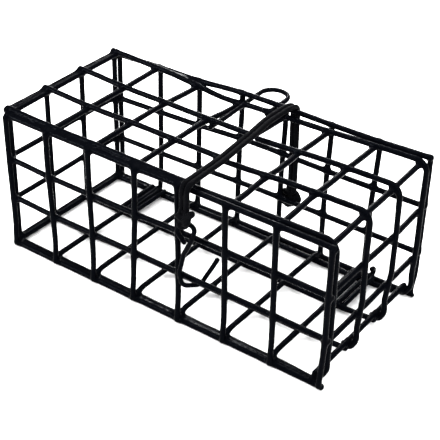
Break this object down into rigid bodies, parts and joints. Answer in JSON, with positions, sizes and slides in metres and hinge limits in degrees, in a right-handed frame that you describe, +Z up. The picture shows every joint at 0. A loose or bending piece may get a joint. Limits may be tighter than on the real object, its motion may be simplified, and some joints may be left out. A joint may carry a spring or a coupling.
{
  "type": "live catch trap",
  "caption": "Small box cage of welded, black plastic-coated wire with a bent front-and-top door on curled wire hinges, held shut by a doubled elastic cord and a wire hook.",
  "frame": {"origin": "on the ground, under the middle of the seven by three cells of mesh", "axes": "+X from the closed rear end to the door, +Y to the side with the anchor loop, +Z up"},
  "size_m": [0.1844, 0.1098, 0.0782],
  "materials": {
    "coated_wire": "steel wire with a glossy black dipped plastic coating",
    "thin_coated_wire": "thinner steel wire with a glossy black coating",
    "elastic_cord": "black elastic cord, satin"
  },
  "bodies": {
    "cage": {"near_side_uprights": "coated_wire", "near_side_rails": "coated_wire", "far_side_uprights": "coated_wire", "far_side_rails": "coated_wire", "floor_long_wires": "coated_wire", "floor_cross_wires": "coated_wire", "door_hinge_wire": "coated_wire", "rear_end_uprights": "coated_wire", "rear_end_cross_wires": "coated_wire", "rear_top_long_wires": "coated_wire", "rear_top_cross_wires": "coated_wire", "top_anchor_loop": "thin_coated_wire", "front_anchor_wires": "coated_wire", "front_anchor_eye": "coated_wire", "rear_anchor_wires": "coated_wire", "elastic_cord_over_top": "elastic_cord", "elastic_cord_near_leg": "elastic_cord", "far_knot": "elastic_cord"},
    "door": {"door_long_wires": "coated_wire", "door_top_cross_wires": "coated_wire", "door_front_cross_wires": "coated_wire"},
    "hook": {"near_knot": "elastic_cord", "j_hook": "thin_coated_wire"}
  },
  "joints": [
    {"name": "door_swing", "type": "hinge", "parent": "cage", "child": "door", "pos_m": [0.0853, 0, 0.0054], "axis": [0, 1, 0], "range_deg": [0, 80], "deforming": ["elastic_cord_over_top"]},
    {"name": "hook_pull", "type": "slide", "parent": "cage", "child": "hook", "axis": [0, 0, -1], "range_m": [0, 0.016], "stiffness_N_per_m": 80, "springref_m": -0.03, "deforming": ["elastic_cord_near_leg"]}
  ]
}
